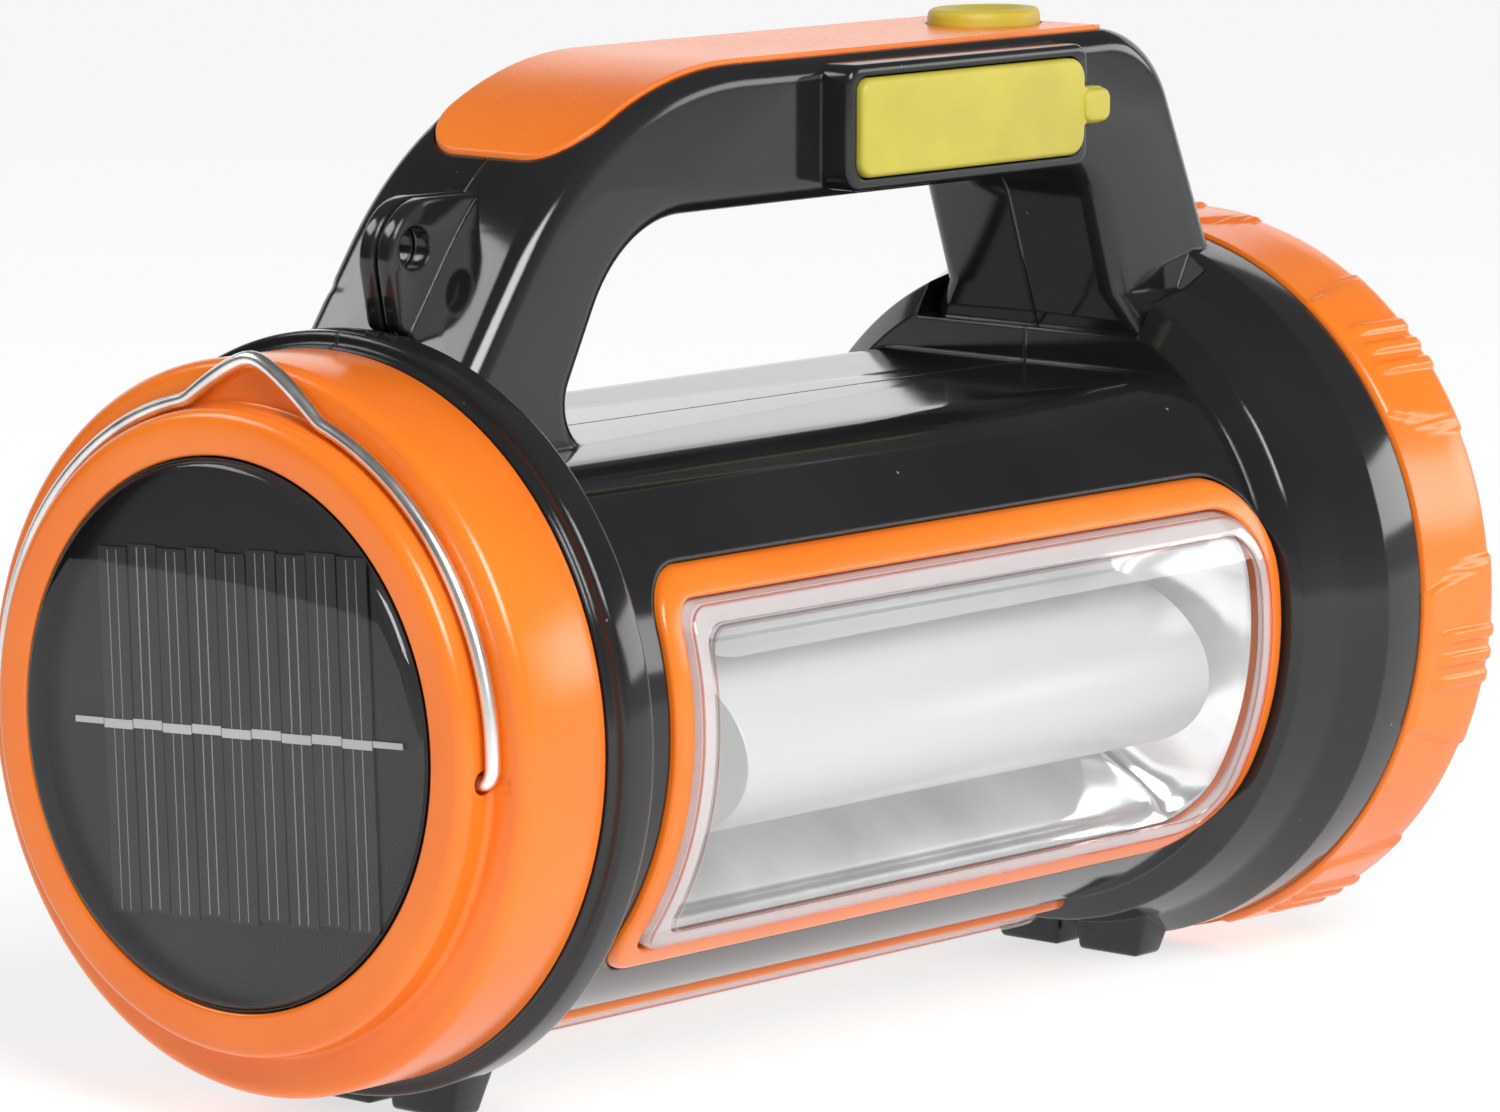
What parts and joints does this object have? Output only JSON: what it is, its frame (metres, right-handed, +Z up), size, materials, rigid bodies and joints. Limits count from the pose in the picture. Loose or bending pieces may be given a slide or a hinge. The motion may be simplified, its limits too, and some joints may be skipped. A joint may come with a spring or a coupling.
{
  "type": "rechargeable searchlight",
  "caption": "Handheld searchlight with a carrying grip, a screw-on head bezel, lantern windows round the barrel, a solar cell and a wire bail on the rear cap.",
  "frame": {"origin": "on the surface the lamp stands on, under the middle of its length", "axes": "+X along the beam, +Z up through the grip, +Y to the lamp's left side"},
  "size_m": [0.2176, 0.1095, 0.1435],
  "materials": {
    "bail_wire": "bright steel",
    "battery": "blue sleeve",
    "inner_plastic": "black",
    "button_rubber": "soft yellow",
    "circuit_board": "green circuit board",
    "clear_lens": "clear polished",
    "grip_strip": "satin orange",
    "orange_trim": "moulded gloss orange",
    "heat_sink": "plain",
    "light_board": "white",
    "reflector": "mirror-bright metallised",
    "housing": "moulded gloss black",
    "screw_steel": "bright steel",
    "gasket": "black",
    "cover_rubber": "soft yellow",
    "solar_base": "black",
    "solar_cell": "dark silicon with silver lines",
    "clear_dome": "clear polished",
    "socket_shell": "bright steel",
    "diffuser": "frosted translucent white"
  },
  "bodies": {
    "lamp": {"battery_cell_1": "battery", "battery_cell_2": "battery", "battery_tray": "inner_plastic", "button_switch": "inner_plastic", "charge_socket": "inner_plastic", "control_board": "circuit_board", "front_lens": "clear_lens", "grip_strip": "grip_strip", "head_bezel": "orange_trim", "head_heat_sink": "heat_sink", "head_light_board": "light_board", "head_reflector": "reflector", "housing_left": "housing", "housing_right": "housing", "housing_screw_1": "screw_steel", "housing_screw_2": "screw_steel", "housing_screw_3": "screw_steel", "housing_screw_4": "screw_steel", "housing_screw_5": "screw_steel", "housing_screw_6": "screw_steel", "lens_gasket": "gasket", "rear_cap": "orange_trim", "socket_board": "circuit_board", "solar_base": "solar_base", "solar_cell": "solar_cell", "solar_dome": "clear_dome", "usb_socket": "socket_shell", "window_board_belly": "light_board", "window_board_left": "light_board", "window_board_right": "light_board", "window_diffuser_belly": "diffuser", "window_diffuser_left": "diffuser", "window_diffuser_right": "diffuser", "window_frame_belly": "orange_trim", "window_frame_left": "orange_trim", "window_frame_right": "orange_trim", "window_lens_belly": "clear_lens", "window_lens_left": "clear_lens", "window_lens_right": "clear_lens", "window_reflector_belly": "reflector", "window_reflector_left": "reflector", "window_reflector_right": "reflector"},
    "bail": {"bail_wire": "bail_wire"},
    "button": {"button_cap": "button_rubber"},
    "cover": {"socket_cover": "cover_rubber"}
  },
  "joints": [
    {"name": "bail_hinge", "type": "hinge", "parent": "lamp", "child": "bail", "pos_m": [-0.10185, 0, 0.0537], "axis": [0, -1, 0], "range_deg": [0, 170]},
    {"name": "button_press", "type": "slide", "parent": "lamp", "child": "button", "axis": [0, 0, -1], "range_m": [0, 0.0016], "stiffness_N_per_m": 800, "springref_m": -0.002},
    {"name": "cover_hinge", "type": "hinge", "parent": "lamp", "child": "cover", "pos_m": [-0.00085, -0.0232, 0.1308], "axis": [0, 0, -1], "range_deg": [0, 110]}
  ]
}
